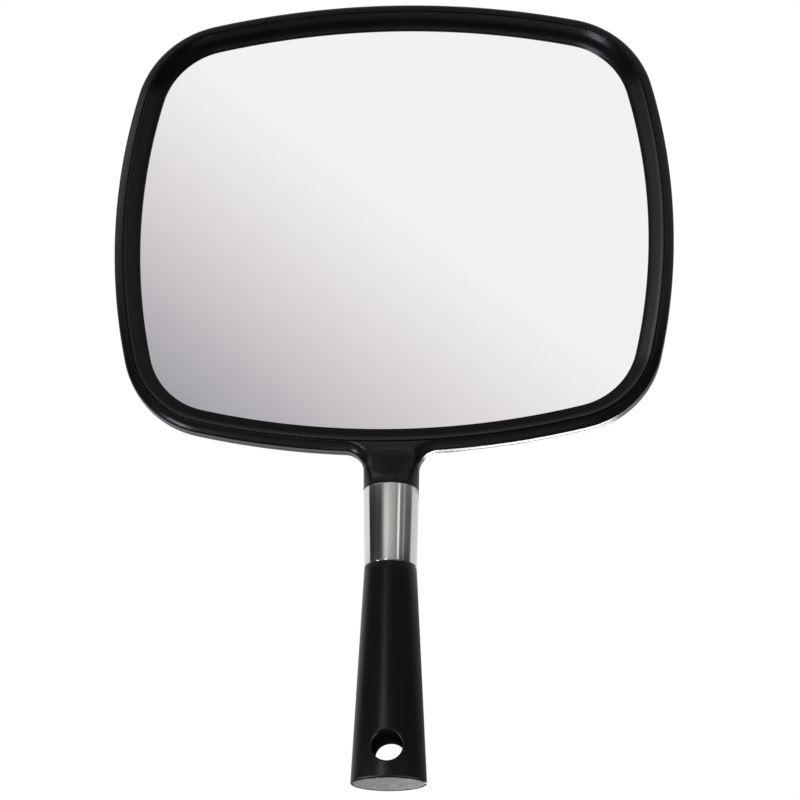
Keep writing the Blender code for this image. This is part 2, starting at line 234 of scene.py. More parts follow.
def outline_rays():
    """Rays round the head, anticlockwise from the widest point, the first ray of the neck's share of the
    lower arc, and the number of steps in that share."""
    half = neck_geometry()[2]
    neck_steps = 2 * (FILLET_STEPS + NECK_SIDE_STEPS) + NECK_FRONT_STEPS
    top = quarter_rays(TOP_CORNER, math.pi / 2)
    bottom = quarter_rays(BOTTOM_CORNER, math.pi / 2 - half)
    top_middle = (0.0, corner_arc(TOP_CORNER)[3], TOP_CORNER[2], math.pi / 2)
    low_z, low_radius = -corner_arc(BOTTOM_CORNER)[3], BOTTOM_CORNER[2]
    rays = top + [top_middle] + [(-x, z, r, math.pi - a) for x, z, r, a in reversed(top)]
    rays += [(-x, -z, r, math.pi + a) for x, z, r, a in bottom[1:]]
    for k in range(neck_steps + 1):
        rays.append((0.0, low_z, low_radius, -math.pi / 2 - half + 2 * half * k / neck_steps))
    rays += [(x, -z, r, -a) for x, z, r, a in reversed(bottom[1:])]
    return np.array(rays), len(top) * 2 + len(bottom), neck_steps


RAYS, NECK_START, NECK_STEPS = outline_rays()


def outline(offset):
    """The head's outline moved outward by offset, as (x, z)."""
    reach = RAYS[:, 2] + offset
    x = RAYS[:, 0] + reach * np.cos(RAYS[:, 3])
    z = HEAD_HEIGHT + RAYS[:, 1] + reach * np.sin(RAYS[:, 3])
    return np.stack([x, z], axis=1)


def neck_path():
    """The neck's edge: down its left side, across the ferrule's top and up its right side."""
    centre_x, centre_z, _, arc_centre = neck_geometry()
    start = math.atan2(arc_centre - centre_z, -centre_x)
    right = []
    for k in range(FILLET_STEPS):
        angle = start + (math.pi - start) * k / FILLET_STEPS
        right.append((centre_x + NECK_FILLET * math.cos(angle),
                      centre_z + NECK_FILLET * math.sin(angle)))
    for k in range(NECK_SIDE_STEPS):
        right.append((NECK_HALF_WIDTH, centre_z + (NECK_BOTTOM - centre_z) * k / NECK_SIDE_STEPS))
    left = [(-x, z) for x, z in right]
    across = [(-NECK_HALF_WIDTH * math.cos(math.pi * k / NECK_FRONT_STEPS), NECK_BOTTOM)
              for k in range(NECK_FRONT_STEPS + 1)]
    return np.array(left + across + right[::-1])


def silhouette():
    """The outer edge of head and neck, point for point beside outline()."""
    edge = outline(HEAD_EDGE)
    edge[NECK_START:NECK_START + NECK_STEPS + 1] = neck_path()
    return edge


EDGE = silhouette()


def edge_distance(points):
    """Distance of each point (x, z) from the edge of head and neck, the neck's lower end left out."""
    first = NECK_START + FILLET_STEPS + NECK_SIDE_STEPS
    line = np.roll(EDGE, -(first + NECK_FRONT_STEPS), axis=0)
    line = line[:len(line) - NECK_FRONT_STEPS + 1]
    right_end, left_end = (NECK_HALF_WIDTH, NECK_SIDES_END), (-NECK_HALF_WIDTH, NECK_SIDES_END)
    line = np.concatenate([[right_end], line, [left_end]])
    start, run = line[:-1], np.diff(line, axis=0)
    squared_length = np.maximum((run ** 2).sum(1), 1e-12)
    offset = points[:, None, :] - start[None, :, :]
    share = np.clip((offset * run).sum(2) / squared_length, 0.0, 1.0)
    return np.sqrt(((offset - share[..., None] * run) ** 2).sum(2)).min(1)


def neck_half_width(height):
    """Half the neck's width at each height, the fillet's flare included."""
    centre_z = neck_geometry()[1]
    short_of_flat = 0.995
    rise = np.clip(height - centre_z, 0.0, NECK_FILLET * short_of_flat)
    return NECK_HALF_WIDTH + NECK_FILLET - np.sqrt(NECK_FILLET ** 2 - rise ** 2)


def smooth(t):
    """Eases from 0 to 1, level at both ends."""
    t = np.clip(t, 0.0, 1.0)
    return t * t * (3 - 2 * t)


def skin_depth(points, head_depth):
    """Depth of the outer skin: the head's own depth, turning into the ferrule's oval down the neck."""
    x, z = points[:, 0], points[:, 1]
    share = smooth((NECK_BLEND[1] - z) / (NECK_BLEND[1] - NECK_BLEND[0]))
    across = np.clip(np.abs(x) / neck_half_width(z), 0.0, 1.0)
    oval_depth = HALF_DEPTH * np.sqrt(1 - across ** 2)
    return head_depth * (1 - share) + oval_depth * share


def front_depth(points):
    """The band falls away from the face to a lightly rounded shoulder, gently at first."""
    distance = edge_distance(points)
    t = np.clip(distance / BAND_FALL, 0.0, 1.0)
    drop = SHOULDER_Y - FACE_Y
    at_shoulder, at_groove = (slope * BAND_FALL / drop for slope in BAND_SLOPES)
    rise = at_shoulder * t * (1 - t) ** 2 + t * t * (3 - 2 * t) - at_groove * t * t * (1 - t)
    rounding = np.clip(1 - distance / SHOULDER_ROUNDING, 0.0, 1.0) ** 2 * SHOULDER_DROP
    return -np.maximum(skin_depth(points, drop * rise - SHOULDER_Y - rounding), LEAST_DEPTH)


def back_depth(points):
    """The rear cover's edge is a quarter round."""
    inward = BACK_EDGE_RADIUS - np.clip(edge_distance(points), 0.0, BACK_EDGE_RADIUS)
    head = BACK_Y - BACK_EDGE_RADIUS + np.sqrt(BACK_EDGE_RADIUS ** 2 - inward ** 2)
    return np.maximum(skin_depth(points, head), LEAST_DEPTH)


def rows_inward(inner, distances):
    """Rows of points from the silhouette in to an inner outline.

    The distances hold where the band is plain. At the neck, where the inner outline is further off, the
    outer rows keep them and the inner rows share out the rest.
    """
    run = inner - EDGE
    length = np.sqrt((run ** 2).sum(1))
    nominal = distances[-1]
    shared_out = 0.9 * nominal
    rows = []
    for distance in distances:
        stretch = min(1.0, distance / shared_out) ** 2
        share = (distance + (length - nominal) * stretch) / length
        rows.append(EDGE + run * share[:, None])
    return rows


def edge_normals():
    """Outward unit normals of the silhouette, in (x, z)."""
    along = np.roll(EDGE, -1, axis=0) - np.roll(EDGE, 1, axis=0)
    normal = np.stack([along[:, 1], -along[:, 0]], axis=1)
    return normal / np.sqrt((normal ** 2).sum(1))[:, None]


# ---- frame ----

def side_wall(rim, shares, way):
    """Rings from a rim along the side wall, in towards the parting from one side: -1 front, 1 rear."""
    normals = edge_normals()
    before, at_parting = (EDGE - normals * inset for inset in PARTING_INSETS)
    rings = [at_depth(EDGE, rim * (1 - share) + way * PARTING_START * share) for share in shares]
    rings.append(at_depth(before, way * (PARTING_HALF_GAP + PARTING_ROUNDING)))
    rings.append(at_depth(at_parting, way * PARTING_HALF_GAP))
    return rings


def make_housing():
    """The front housing: band, side wall and the front half of the neck."""
    inner = outline(GROOVE + GROOVE_HALF_WIDTH)
    inner_wall = outline(HOUSING_INSIDE)
    width = HEAD_EDGE - GROOVE - GROOVE_HALF_WIDTH
    groove_edge = {width - 0.15: 0.02, width - 0.05: 0.1, width: 0.25}
    plain = [0.0, 0.04, 0.12, 0.25, 0.45, 0.7, 1.0, 1.4, 1.9, 2.4, 2.8, 3.1, width - 0.3]
    distances = plain + list(groove_edge)
    band = [at_depth(row, front_depth(row) + groove_edge.get(distance, 0.0))
            for distance, row in zip(distances, rows_inward(inner, distances))]
    side = side_wall(band[0][:, 1], (0.08, 0.3, 0.6, 0.9), -1)
    inside = [at_depth(inner, FACE_Y + GROOVE_DEPTH), at_depth(inner, HOUSING_FLOOR_Y),
              at_depth(inner_wall, HOUSING_FLOOR_Y), at_depth(inner_wall, -PARTING_HALF_GAP)]
    return loft("housing_skin", side[::-1] + band + inside, capped=False)


def make_cover():
    """The rear cover: side wall, rounded edge, flat back and the rear half of the neck."""
    distances = [BACK_EDGE_RADIUS * (1 - math.cos(math.pi / 2 * k / BACK_EDGE_STEPS))
                 for k in range(BACK_EDGE_STEPS + 1)]
    distances += [BACK_EDGE_RADIUS + 1.5, HEAD_EDGE]
    back = [at_depth(row, back_depth(row)) for row in rows_inward(outline(0.0), distances)]
    side = side_wall(back[0][:, 1], (0.1, 0.5, 0.9), 1)
    inside = [at_depth(outline(COVER_INSIDE), PARTING_HALF_GAP), at_depth(outline(COVER_INSIDE), 2.2),
              at_depth(outline(7.4), 3.7), at_depth(outline(6.0), 4.4)]
    return loft("cover_skin", back[::-1] + side + inside)


def make_bezel():
    """The inner ring: a rounded ridge, a hollowed slope down to the lip, and the glass seat behind."""
    outside = GROOVE - GROOVE_HALF_WIDTH
    section = [(outside, -3.2), (outside, FACE_Y + GROOVE_DEPTH), (outside, FACE_Y + 0.25),
               (outside - 0.05, FACE_Y + 0.1), (outside - 0.15, FACE_Y + 0.02)]
    ridge, bend, lip = (outside - 0.35, FACE_Y), (3.9, -2.3), (0.35, -1.12)
    for k in range(SLOPE_STEPS + 1):
        t = k / SLOPE_STEPS
        section.append(tuple((1 - t) ** 2 * a + 2 * t * (1 - t) * b + t * t * c
                             for a, b, c in zip(ridge, bend, lip)))
    seat = GLASS_FRONT - 0.04
    flange = HOUSING_INSIDE - 0.3
    section += [(0.18, -1.05), (0.06, -0.94), (0.0, -0.8), (0.0, seat - 0.05), (0.05, seat), (2.5, seat)]
    section += [(2.5, 1.6), (4.0, 1.6), (4.0, -1.2), (4.9, -2.0), (flange, -2.0), (flange, -3.2)]
    return loft("bezel_skin", [at_depth(outline(offset), y) for offset, y in section], capped=False)


# ---- handle ----

def oval(height, half_width, inset=0.0):
    """An oval section at a height, drawn in by inset all round."""
    angle = 2 * math.pi * np.arange(OVAL_STEPS) / OVAL_STEPS
    return np.stack([(half_width - inset) * np.cos(angle),
                     (HALF_DEPTH - inset) * np.sin(angle),
                     np.full(OVAL_STEPS, height)], axis=1)


def ferrule_half_width(height):
    """Half the ferrule's width, which grows a little upward."""
    share = (height - FERRULE_BOTTOM) / (FERRULE_TOP - FERRULE_BOTTOM)
    return GRIP_TOP_HALF_WIDTH + share * (FERRULE_TOP_HALF_WIDTH - GRIP_TOP_HALF_WIDTH)


def grip_half_width(height):
    """Half the grip's width, which grows downward."""
    share = (FERRULE_BOTTOM - height) / (FERRULE_BOTTOM - HANDLE_END)
    return GRIP_TOP_HALF_WIDTH + share * (GRIP_END_HALF_WIDTH - GRIP_TOP_HALF_WIDTH)


def rolled_edge(height, way, radius):
    """Heights and insets of a quarter round, from the wall to the end at a height."""
    angles = [math.pi / 2 * k / ROLL_STEPS for k in range(ROLL_STEPS + 1)]
    return [(height + way * radius * (1 - math.sin(a)), radius * (1 - math.cos(a))) for a in angles]


def make_spigot():
    """The neck's stub inside the ferrule, which shows only in the fine joints above and below it."""
    return loft("neck_spigot", [
        oval(FERRULE_BOTTOM - 3.0, GRIP_TOP_HALF_WIDTH, SPIGOT_INSET + SPIGOT_TAPER),
        oval(FERRULE_BOTTOM - 0.3, GRIP_TOP_HALF_WIDTH, SPIGOT_INSET),
        oval(NECK_BOTTOM - JOINT / 2, FERRULE_TOP_HALF_WIDTH, SPIGOT_INSET)])


def make_ferrule():
    """A thin sleeve with softly rolled edges."""
    low, high = FERRULE_BOTTOM + 0.5, FERRULE_TOP - 0.25
    steps = 8
    rows = rolled_edge(FERRULE_BOTTOM, 1, FERRULE_LOWER_ROLL)[::-1]
    rows += [(low + (high - low) * k / steps, 0.0) for k in range(steps + 1)]
    rows += rolled_edge(FERRULE_TOP, -1, FERRULE_UPPER_ROLL)
    rows += [(FERRULE_TOP, FERRULE_WALL), (FERRULE_BOTTOM, FERRULE_WALL)]
    rings = [oval(height, ferrule_half_width(height), inset) for height, inset in rows]
    return loft("ferrule_skin", rings, capped=False)


class RingMesh:
    """Points and faces of a skin that grows ring by ring."""

    def __init__(self):
        self.points = []
        self.faces = []

    def add(self, ring):
        """Adds a ring of points and returns their indices."""
        self.points.extend(ring)
        return list(range(len(self.points) - len(ring), len(self.points)))

    def join(self, one, other):
        """Quads between two rings of indices."""
        for i in range(len(one)):
            j = (i + 1) % len(one)
            self.faces.append((one[i], one[j], other[j], other[i]))

    def grow(self, indices, rings):
        """Joins further rings on to a ring of indices, one after another, and returns the last one."""
        for ring in rings:
            added = self.add(ring)
            self.join(indices, added)
            indices = added
        return indices


def takes_patch(column):
    """True for the columns of the grip's mesh that a patch round the hole takes."""
    return any((column - (middle - PATCH_REACH)) % OVAL_STEPS < 2 * PATCH_REACH
               for middle in HOLE_COLUMNS.values())


def patch_border(side, first, last):
    """Indices round the patch on one side, from below on -X and the same way round in (x, z)."""
    step = -side
    left = HOLE_COLUMNS[side] - step * PATCH_REACH
    right = HOLE_COLUMNS[side] + step * PATCH_REACH
    border = [first * OVAL_STEPS + (left + step * k) % OVAL_STEPS for k in range(2 * PATCH_REACH)]
    border += [row * OVAL_STEPS + right % OVAL_STEPS for row in range(first, last)]
    border += [last * OVAL_STEPS + (right - step * k) % OVAL_STEPS for k in range(2 * PATCH_REACH)]
    border += [row * OVAL_STEPS + left % OVAL_STEPS for row in range(last, first, -1)]
    return border


def hole_rings(border, side):
    """Rings from a patch's border over the grip's surface to the hole, then round its mouth."""
    dx, dz = border[:, 0], border[:, 2] - HOLE_HEIGHT
    distance, angle = np.hypot(dx, dz), np.arctan2(dz, dx)
    mouth = HOLE_RADIUS + HOLE_ROUNDING
    rows = [(distance + (mouth - distance) * share, 0.0) for share in (0.25, 0.5, 0.75, 0.9, 1.0)]
    for k in range(1, MOUTH_STEPS + 1):
        turn = math.pi / 2 * k / MOUTH_STEPS
        outward, sunk = HOLE_ROUNDING * (1 - math.sin(turn)), HOLE_ROUNDING * (1 - math.cos(turn))
        rows.append((HOLE_RADIUS + outward, sunk))
    rings = []
    for radius, sunk in rows:
        x, z = radius * np.cos(angle), HOLE_HEIGHT + radius * np.sin(angle)
        surface = HALF_DEPTH * np.sqrt(1 - (x / grip_half_width(z)) ** 2)
        rings.append(np.stack([x, side * surface - side * sunk, z], axis=1))
    return rings


def make_grip():
    """The grip: a tapered oval with rounded rims and a hanging hole with rounded mouths."""
    skin = RingMesh()
    top = FERRULE_BOTTOM - JOINT
    wall_top = top - GRIP_TOP_RIM
    below = [HANDLE_END + END_ROUNDING, HANDLE_END + 1.4, HANDLE_END + 2.6]
    patch = [HOLE_HEIGHT - PATCH_HALF_HEIGHT + 2 * PATCH_HALF_HEIGHT * k / PATCH_STEPS
             for k in range(PATCH_STEPS + 1)]
    above = [patch[-1] + (wall_top - patch[-1]) * k / GRIP_STEPS for k in range(1, GRIP_STEPS + 1)]
    wall = [skin.add(oval(z, grip_half_width(z))) for z in below + patch + above]
    first, last = len(below), len(below) + PATCH_STEPS
    for row in range(len(wall) - 1):
        for column in range(OVAL_STEPS):
            if first <= row < last and takes_patch(column):
                continue
            beside = (column + 1) % OVAL_STEPS
            skin.faces.append((wall[row][column], wall[row][beside],
                               wall[row + 1][beside], wall[row + 1][column]))

    mouths = []
    for side in (-1, 1):
        border = patch_border(side, first, last)
        mouths.append(skin.grow(border, hole_rings(np.array([skin.points[i] for i in border]), side)))
    front, back = (np.array([skin.points[i] for i in mouth]) for mouth in mouths)
    bore = [front + (back - front) * k / BORE_STEPS for k in range(1, BORE_STEPS)]
    skin.join(skin.grow(mouths[0], bore), mouths[1])

    end, rim = grip_half_width(HANDLE_END), grip_half_width(top)
    mouth = GRIP_END_HALF_WIDTH + MOUTH_FLARE
    # The rounding's rings, from the last but one back up to the wall
    rounding = rolled_edge(HANDLE_END, 1, END_ROUNDING)[-2::-1]
    lower = [oval(height, end, inset) for height, inset in rounding]
    lower += [oval(HANDLE_END + 0.03, mouth, MOUTH_WALL - 0.06),
              oval(HANDLE_END + 0.12, mouth, MOUTH_WALL),
              oval(HANDLE_END + MOUTH_DEPTH, mouth, MOUTH_WALL)]
    upper = [oval(top - 0.06, rim, 0.02), oval(top - 0.02, rim, 0.06), oval(top, rim, GRIP_TOP_RIM),
             oval(top, rim, GRIP_WALL), oval(top - SOCKET_DEPTH, rim, GRIP_WALL)]
    for start, rings in ((wall[0], lower), (wall[-1], upper)):
        skin.faces.append(tuple(skin.grow(start, rings)))
    return add_mesh("grip_skin", skin.points, skin.faces)


def in_painted_shade(point):
    """True where the grip takes painted shade, an unreflecting copy of its plastic: in the hole's bore,
    inside the grip's two ends and on the rear half of its lower rim.
    """
    half_width, half_depth = grip_half_width(point.z) - HOLE_ROUNDING, HALF_DEPTH - HOLE_ROUNDING
    inside = (point.x / half_width) ** 2 + (point.y / half_depth) ** 2 < 1
    return inside or (point.y > 0 and point.z < HANDLE_END + END_ROUNDING)


def make_cap():
    """The end cap's disc, its edge softly rounded."""
    half_width = GRIP_END_HALF_WIDTH + MOUTH_FLARE
    edge = MOUTH_WALL + CAP_GAP
    return loft("cap_skin", [oval(HANDLE_END + height, half_width, edge + inset) for height, inset in (
        (2.5, 0.0), (0.35, 0.0), (0.13, 0.08), (0.04, 0.22), (0.02, 0.5), (0.02, 3.0))])


# ---- materials ----

class Nodes:
    """Short ways to add and join shader nodes."""

    def __init__(self, name, world=False):
        self.owner = bpy.data.worlds.new(name) if world else bpy.data.materials.new(name)
        self.owner.use_nodes = True
        self.tree = self.owner.node_tree
        self.shader = self.tree.nodes.get("Principled BSDF")

    def add(self, kind, **values):
        node = self.tree.nodes.new(kind)
        for key, value in values.items():
            if key in node.inputs:
                node.inputs[key].default_value = value
            else:
                setattr(node, key, value)
        return node

    def link(self, source, target):
        self.tree.links.new(source, target)

    def coordinates(self):
        return self.add("ShaderNodeTexCoord").outputs["Object"]

    def noise(self, scale, detail=3.0, roughness=0.5, stretch=None):
        """Noise in the object's own coordinates, scale in waves to a metre."""
        node = self.add("ShaderNodeTexNoise", Scale=scale, Detail=detail, Roughness=roughness)
        source = self.coordinates()
        if stretch is not None:
            mapping = self.add("ShaderNodeMapping", Scale=stretch)
            self.link(source, mapping.inputs["Vector"])
            source = mapping.outputs["Vector"]
        self.link(source, node.inputs["Vector"])
        return node.outputs["Fac"]

    def spread(self, value, low, high, from_low=0.3, from_high=0.7):
        """A value's own range, noise's by default, spread from low to high."""
        node = self.add("ShaderNodeMapRange")
        for key, number in (("From Min", from_low), ("From Max", from_high),
                            ("To Min", low), ("To Max", high)):
            node.inputs[key].default_value = number
        self.link(value, node.inputs["Value"])
        return node.outputs["Result"]

    def math(self, operation, a, b):
        """A sum or other operation on two values, each a number or a socket."""
        node = self.add("ShaderNodeMath", operation=operation)
        for socket, value in zip(node.inputs, (a, b)):
            if isinstance(value, (int, float)):
                socket.default_value = value
            else:
                self.link(value, socket)
        return node.outputs[0]

    def ramp(self, value, stops):
        """Colours along a value, from stops of a position and a colour or a grey."""
        node = self.add("ShaderNodeValToRGB")
        ramp = node.color_ramp
        for k, (position, colour) in enumerate(stops):
            element = ramp.elements[k] if k < 2 else ramp.elements.new(position)
            element.position = position
            rgb = colour if isinstance(colour, tuple) else (colour, colour, colour)
            element.color = (*rgb, 1.0)
        self.link(value, node.inputs["Fac"])
        return node.outputs["Color"]

    def bump(self, height, strength, distance):
        node = self.add("ShaderNodeBump", Strength=strength, Distance=distance)
        self.link(height, node.inputs["Height"])
        return node.outputs["Normal"]

    def put(self, **values):
        """Sets sockets of the Principled shader, by value or by link; underscores stand for spaces."""
        for key, value in values.items():
            socket = self.shader.inputs[key.replace("_", " ")]
            if isinstance(value, bpy.types.NodeSocket):
                self.link(value, socket)
            elif isinstance(value, tuple):
                socket.default_value = (*value, 1.0)
            else:
                socket.default_value = value


def black_plastic(name, roughness, grain, specular, depth):
    """Satin moulded plastic: fine spark-eroded grain, slow waviness and faint uneven gloss."""
    m = Nodes(name)
    fine = m.noise(2600.0, detail=4.0, roughness=0.6)
    slow = m.noise(34.0, detail=2.0)
    smear = m.noise(90.0, detail=5.0, roughness=0.7, stretch=(1.0, 1.0, 0.35))
    deep, worn = (depth, depth, depth * 1.08), (depth * 1.3, depth * 1.3, depth * 1.4)
    colour = m.ramp(slow, [(0.3, deep), (0.7, worn)])
    uneven = m.spread(smear, roughness - 0.04, roughness + 0.05)
    gloss = m.math("ADD", uneven, m.spread(fine, -0.02, 0.02))
    m.put(Base_Color=colour, Roughness=gloss, Specular_IOR_Level=specular)
    m.put(Normal=m.bump(fine, grain, 0.00003))
    return m.owner


def silvered_glass():
    """Clean mirror, almost neutral, with the faintest uneven polish."""
    m = Nodes("silvered_glass")
    cloud = m.noise(14.0, detail=2.0)
    m.put(Base_Color=m.ramp(cloud, [(0.3, (0.932, 0.932, 0.934)), (0.7, (0.938, 0.938, 0.94))]))
    m.put(Metallic=1.0)
    m.put(Roughness=m.spread(m.noise(60.0, detail=4.0), 0.004, 0.012))
    return m.owner


def bright_chrome():
    """Plated metal with faint drawn lines along the sleeve."""
    m = Nodes("bright_chrome")
    drawn = m.noise(900.0, detail=3.0, stretch=(1.0, 1.0, 0.02))
    cloud = m.noise(70.0, detail=3.0)
    m.put(Base_Color=m.ramp(cloud, [(0.3, (0.74, 0.735, 0.71)), (0.7, (0.79, 0.785, 0.765))]))
    m.put(Metallic=1.0)
    m.put(Roughness=m.math("ADD", m.spread(drawn, 0.05, 0.09), m.spread(cloud, 0.0, 0.02)))
    m.put(Normal=m.bump(drawn, 0.04, 0.00001))
    return m.owner


def frosted_grey():
    """Frosted silver-grey plastic: fine sparkling speckle under a matt skin."""
    m = Nodes("frosted_grey")
    speckle = m.noise(1300.0, detail=2.0, roughness=0.7)
    cloud = m.noise(260.0, detail=3.0)
    colour = m.ramp(m.math("ADD", m.math("MULTIPLY", speckle, 0.75), m.math("MULTIPLY", cloud, 0.25)),
                    [(0.38, (0.045, 0.045, 0.049)), (0.62, (0.32, 0.32, 0.334))])
    m.put(Base_Color=colour, Roughness=m.spread(speckle, 0.4, 0.6))
    m.put(Metallic=0.35, Specular_IOR_Level=0.4)
    m.put(Normal=m.bump(speckle, 0.35, 0.00006))
    return m.owner


def closed_cell_foam():
    """Grey foam with fine closed cells."""
    m = Nodes("closed_cell_foam")
    cells = m.add("ShaderNodeTexVoronoi", Scale=1400.0)
    m.link(m.coordinates(), cells.inputs["Vector"])
    m.put(Base_Color=m.ramp(cells.outputs["Distance"], [(0.1, 0.16), (0.6, 0.26)]))
    m.put(Roughness=m.spread(m.noise(300.0), 0.85, 0.95))
    m.put(Normal=m.bump(cells.outputs["Distance"], 0.5, 0.0002))
    return m.owner


def foam_tape():
    """Off-white tape with a faint weave."""
    m = Nodes("foam_tape")
    weave = m.noise(700.0, detail=3.0, stretch=(1.0, 1.0, 0.2))
    m.put(Base_Color=m.ramp(weave, [(0.3, (0.74, 0.74, 0.70)), (0.7, (0.84, 0.84, 0.80))]))
    m.put(Roughness=m.spread(weave, 0.55, 0.75), Normal=m.bump(weave, 0.3, 0.0001))
    return m.owner


def rolled_steel():
    """Bare steel with a fine rolled grain."""
    m = Nodes("rolled_steel")
    grain = m.noise(800.0, detail=4.0, stretch=(1.0, 1.0, 0.03))
    m.put(Base_Color=m.ramp(grain, [(0.3, 0.46), (0.7, 0.6)]), Metallic=1.0)
    m.put(Roughness=m.spread(grain, 0.28, 0.42), Normal=m.bump(grain, 0.15, 0.00003))
    return m.owner


# ---- studio ----

CORNERS = ((-1, -1), (1, -1), (1, 1), (-1, 1))


def add_camera():
    """A long lens, looking up at the mirror from a little to its right."""
    aim = Vector((3.2, 0.0, 108.1)) * MM
    distance, turn, rise, roll = 1.826, math.radians(4.14), math.radians(17.72), math.radians(-0.48)
    ahead = Vector((-math.sin(turn) * math.cos(rise), math.cos(turn) * math.cos(rise), math.sin(rise)))
    right = Vector((math.cos(turn), math.sin(turn), 0.0))
    up = right.cross(ahead)
    right, up = (right * math.cos(roll) - up * math.sin(roll),
                 right * math.sin(roll) + up * math.cos(roll))
    data = bpy.data.cameras.new("camera")
    data.sensor_width = 36.0
    data.lens = 203.5
    data.clip_end = 50.0
    camera = bpy.data.objects.new("camera", data)
    placed = Matrix((right, up, -ahead)).transposed().to_4x4()
    placed.translation = aim - ahead * distance
    camera.matrix_world = placed
    bpy.context.scene.collection.objects.link(camera)
    bpy.context.scene.camera = camera


def add_stage_mesh(name, points, faces, material):
    """A mesh of the studio, in metres."""
    mesh = bpy.data.meshes.new(name)
    mesh.from_pydata(points, [], faces)
    mesh.materials.append(material)
    obj = bpy.data.objects.new(name, mesh)
    bpy.context.scene.collection.objects.link(obj)
    return obj


def emission(m, colour, strength=1.0):
    """Makes a material give off light of a colour, and returns it."""
    shader = m.add("ShaderNodeEmission", Strength=strength)
    m.link(colour, shader.inputs["Color"])
    m.link(shader.outputs["Emission"], m.tree.nodes["Material Output"].inputs["Surface"])
    return m.owner


def tone(colour, reflected):
    """Light that reads as a display colour after a surface has returned the given share of it."""
    return tuple((value / 255) ** 2.2 / reflected for value in colour)


def turns(m, vector, stops):
    """A brightness by compass angle in degrees: 0 is in front of the mirror, 90 is on its +X side."""
    split = m.add("ShaderNodeSeparateXYZ")
    m.link(vector, split.inputs["Vector"])
    x, y = split.outputs["X"], m.math("MULTIPLY", split.outputs["Y"], -1.0)
    turn = m.math("ADD", m.math("DIVIDE", m.math("ARCTAN2", x, y), 2 * math.pi), 0.5)
    return m.ramp(turn, [(angle / 360 + 0.5, value) for angle, value in stops])


def levels(m, vector, stops):
    """A value by angle above the horizon, in degrees."""
    unit = m.add("ShaderNodeVectorMath", operation="NORMALIZE")
    m.link(vector, unit.inputs[0])
    split = m.add("ShaderNodeSeparateXYZ")
    m.link(unit.outputs[0], split.inputs["Vector"])
    rise = m.math("ADD", m.math("MULTIPLY", split.outputs["Z"], 0.5), 0.5)
    return m.ramp(rise, [(0.5 + 0.5 * math.sin(math.radians(angle)), value) for angle, value in stops])


def blend(m, share, first, second):
    """The first colour where the share is 0, the second where it is 1."""
    node = m.add("ShaderNodeMix", data_type="RGBA")
    m.link(share, node.inputs["Factor"])
    for socket, value in ((node.inputs["A"], first), (node.inputs["B"], second)):
        m.link(value, socket)
    return node.outputs["Result"]


def room_light():
    """Walls as light: bright behind the mirror, dark in front of it, grey above and dark below."""
    m = Nodes("room_light")
    way = m.coordinates()
    ring = turns(m, way, [
        (-180, 0.7), (-112, 0.65), (-106, 0.1), (-92, 0.05), (-60, 0.14), (-50, 0.18), (-24, 0.18),
        (-8, 0.07), (35, 0.07), (50, 0.03), (100, 0.03), (108, 0.13), (150, 0.2), (180, 0.5)])
    away = levels(m, way, [
        (-90, 0.06), (-36, 0.06), (-18, 0.28), (10, 0.38), (50, 0.38), (62, 0.3), (90, 0.2)])
    near = levels(m, way, [(-35, 0.0), (-15, 1.0), (15.5, 1.0), (17.5, 0.0)])
    return emission(m, blend(m, near, away, ring))


def strip_light():
    """The sleeve's reflections: bright behind, a dark flag, a broad soft panel and two fine lines."""
    m = Nodes("strip_light")
    flag = [(-106, 0.02), (-95, 0.03), (-50, 0.05), (-42, 0.08)]
    panel = [(-32, 0.3), (-26, 0.58), (-18, 0.74), (-7, 0.68), (4, 0.53), (13, 0.46), (24, 0.4)]
    first_line = [(36, 0.26), (40, 0.55), (43, 1.1), (48, 1.1), (52, 0.22)]
    second_line = [(66, 0.165), (70, 0.4), (74, 0.34), (78, 0.14), (100, 0.1)]
    return emission(m, turns(m, m.coordinates(), [
        (-180, 0.86), (-110, 0.86), *flag, *panel, *first_line, *second_line,
        (106, 0.16), (111, 0.68), (180, 0.8)]))


def unseen(card):
    """Hides a card from everything but reflections."""
    card.visible_camera = card.visible_diffuse = card.visible_shadow = False


def add_room():
    """A round room whose walls light the mirror. The camera looks through it to the white world."""
    radius, rings, segments = 6.0, 16, 32
    points, faces = [], []
    for i in range(rings + 1):
        tilt = math.pi * i / rings
        for k in range(segments):
            turn = 2 * math.pi * k / segments
            points.append((radius * math.sin(tilt) * math.cos(turn),
                           radius * math.sin(tilt) * math.sin(turn),
                           radius * math.cos(tilt)))
    for i in range(rings):
        faces += strip_faces(i * segments, (i + 1) * segments, segments)
    room = add_stage_mesh("room", points, faces, room_light())
    room.visible_camera = False


def add_ring(name, material, radius, heights, start, stop):
    """Part of an upright ring of light round the handle, between two compass angles."""
    steps = 48
    points = []
    for z in heights:
        for k in range(steps + 1):
            turn = math.radians(start + (stop - start) * k / steps)
            points.append((radius * math.sin(turn), -radius * math.cos(turn), z))
    faces = [(k, k + 1, steps + 2 + k, steps + 1 + k) for k in range(steps)]
    unseen(add_stage_mesh(name, points, faces, material))


def add_strip():
    """The rings that the sleeve reflects: further off in front and at the sides, close by behind."""
    light = strip_light()
    add_ring("front_strip", light, 0.75, (0.239, 0.2915), -180, 106)
    add_ring("rear_strip", light, 0.16, (0.0772, 0.1128), 106, 180)


def add_floor():
    """A plain pale floor, below the camera."""
    m = Nodes("pale_floor")
    pale = m.ramp(m.noise(3.0), [(0.3, 0.8), (0.7, 0.83)])
    m.put(Base_Color=pale, Roughness=0.8, Emission_Color=pale, Emission_Strength=0.6)
    size, height = 5.0, -0.75
    corners = [(x * size, y * size, height) for x, y in CORNERS]
    floor = add_stage_mesh("floor", corners, [(0, 1, 2, 3)], m.owner)
    floor.visible_glossy = False


